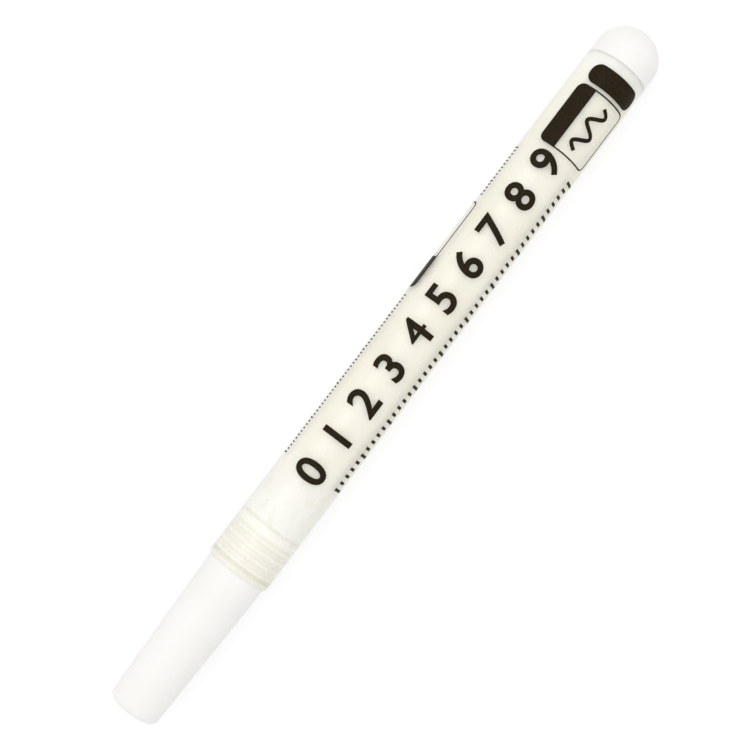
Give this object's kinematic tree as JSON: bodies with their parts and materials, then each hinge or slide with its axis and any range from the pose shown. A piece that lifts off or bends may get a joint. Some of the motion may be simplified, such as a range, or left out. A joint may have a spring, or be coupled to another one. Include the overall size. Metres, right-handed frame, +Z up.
{
  "type": "paint marker",
  "caption": "Slim valve-action paint marker: translucent tube barrel, tapered pull-off cap, domed tail plug and a spring-loaded fine nib that opens the paint valve when pressed.",
  "frame": {"origin": "on the surface the pen lies on, under the middle of its length", "axes": "+X along the pen from the cap's end to the tail, +Z up, the pen's axis at half the barrel's diameter"},
  "size_m": [0.1424, 0.0116, 0.0116],
  "materials": {
    "clear_tube": "frosted translucent polypropylene with the white paint behind it",
    "white_plastic": "satin white polypropylene",
    "nose_plastic": "satin warm white polypropylene",
    "natural_plastic": "natural polyethylene",
    "nib_fibre": "bonded fibre, soaked with white paint",
    "seal_rubber": "matt",
    "steel": "bright stainless steel",
    "white_paint": "wet white acrylic paint that coats the inside of the barrel",
    "print_ink": "black screen print on the barrel"
  },
  "bodies": {
    "barrel": {"barrel": "clear_tube", "tail_plug": "white_plastic", "front_section": "nose_plastic", "valve_seat": "natural_plastic", "spring_cage": "natural_plastic", "valve_spring": "steel"},
    "cap": {"cap": "white_plastic", "inner_cap": "natural_plastic"},
    "nib_unit": {"nib": "nib_fibre", "nib_carrier": "natural_plastic", "valve_stem": "natural_plastic", "stem_seal": "seal_rubber"},
    "mixing_balls": {"mixing_ball_front": "steel", "mixing_ball_rear": "steel"}
  },
  "joints": [
    {"name": "cap_pull", "type": "slide", "parent": "barrel", "child": "cap", "axis": [-1, 0, 0], "range_m": [0, 0.04]},
    {"name": "nib_press", "type": "slide", "parent": "barrel", "child": "nib_unit", "axis": [1, 0, 0], "range_m": [0, 0.0018], "stiffness_N_per_m": 611, "springref_m": -0.0022, "deforming": ["valve_spring"]},
    {"name": "ball_shake", "type": "slide", "parent": "barrel", "child": "mixing_balls", "axis": [-1, 0, 0], "range_m": [0, 0.066]}
  ]
}
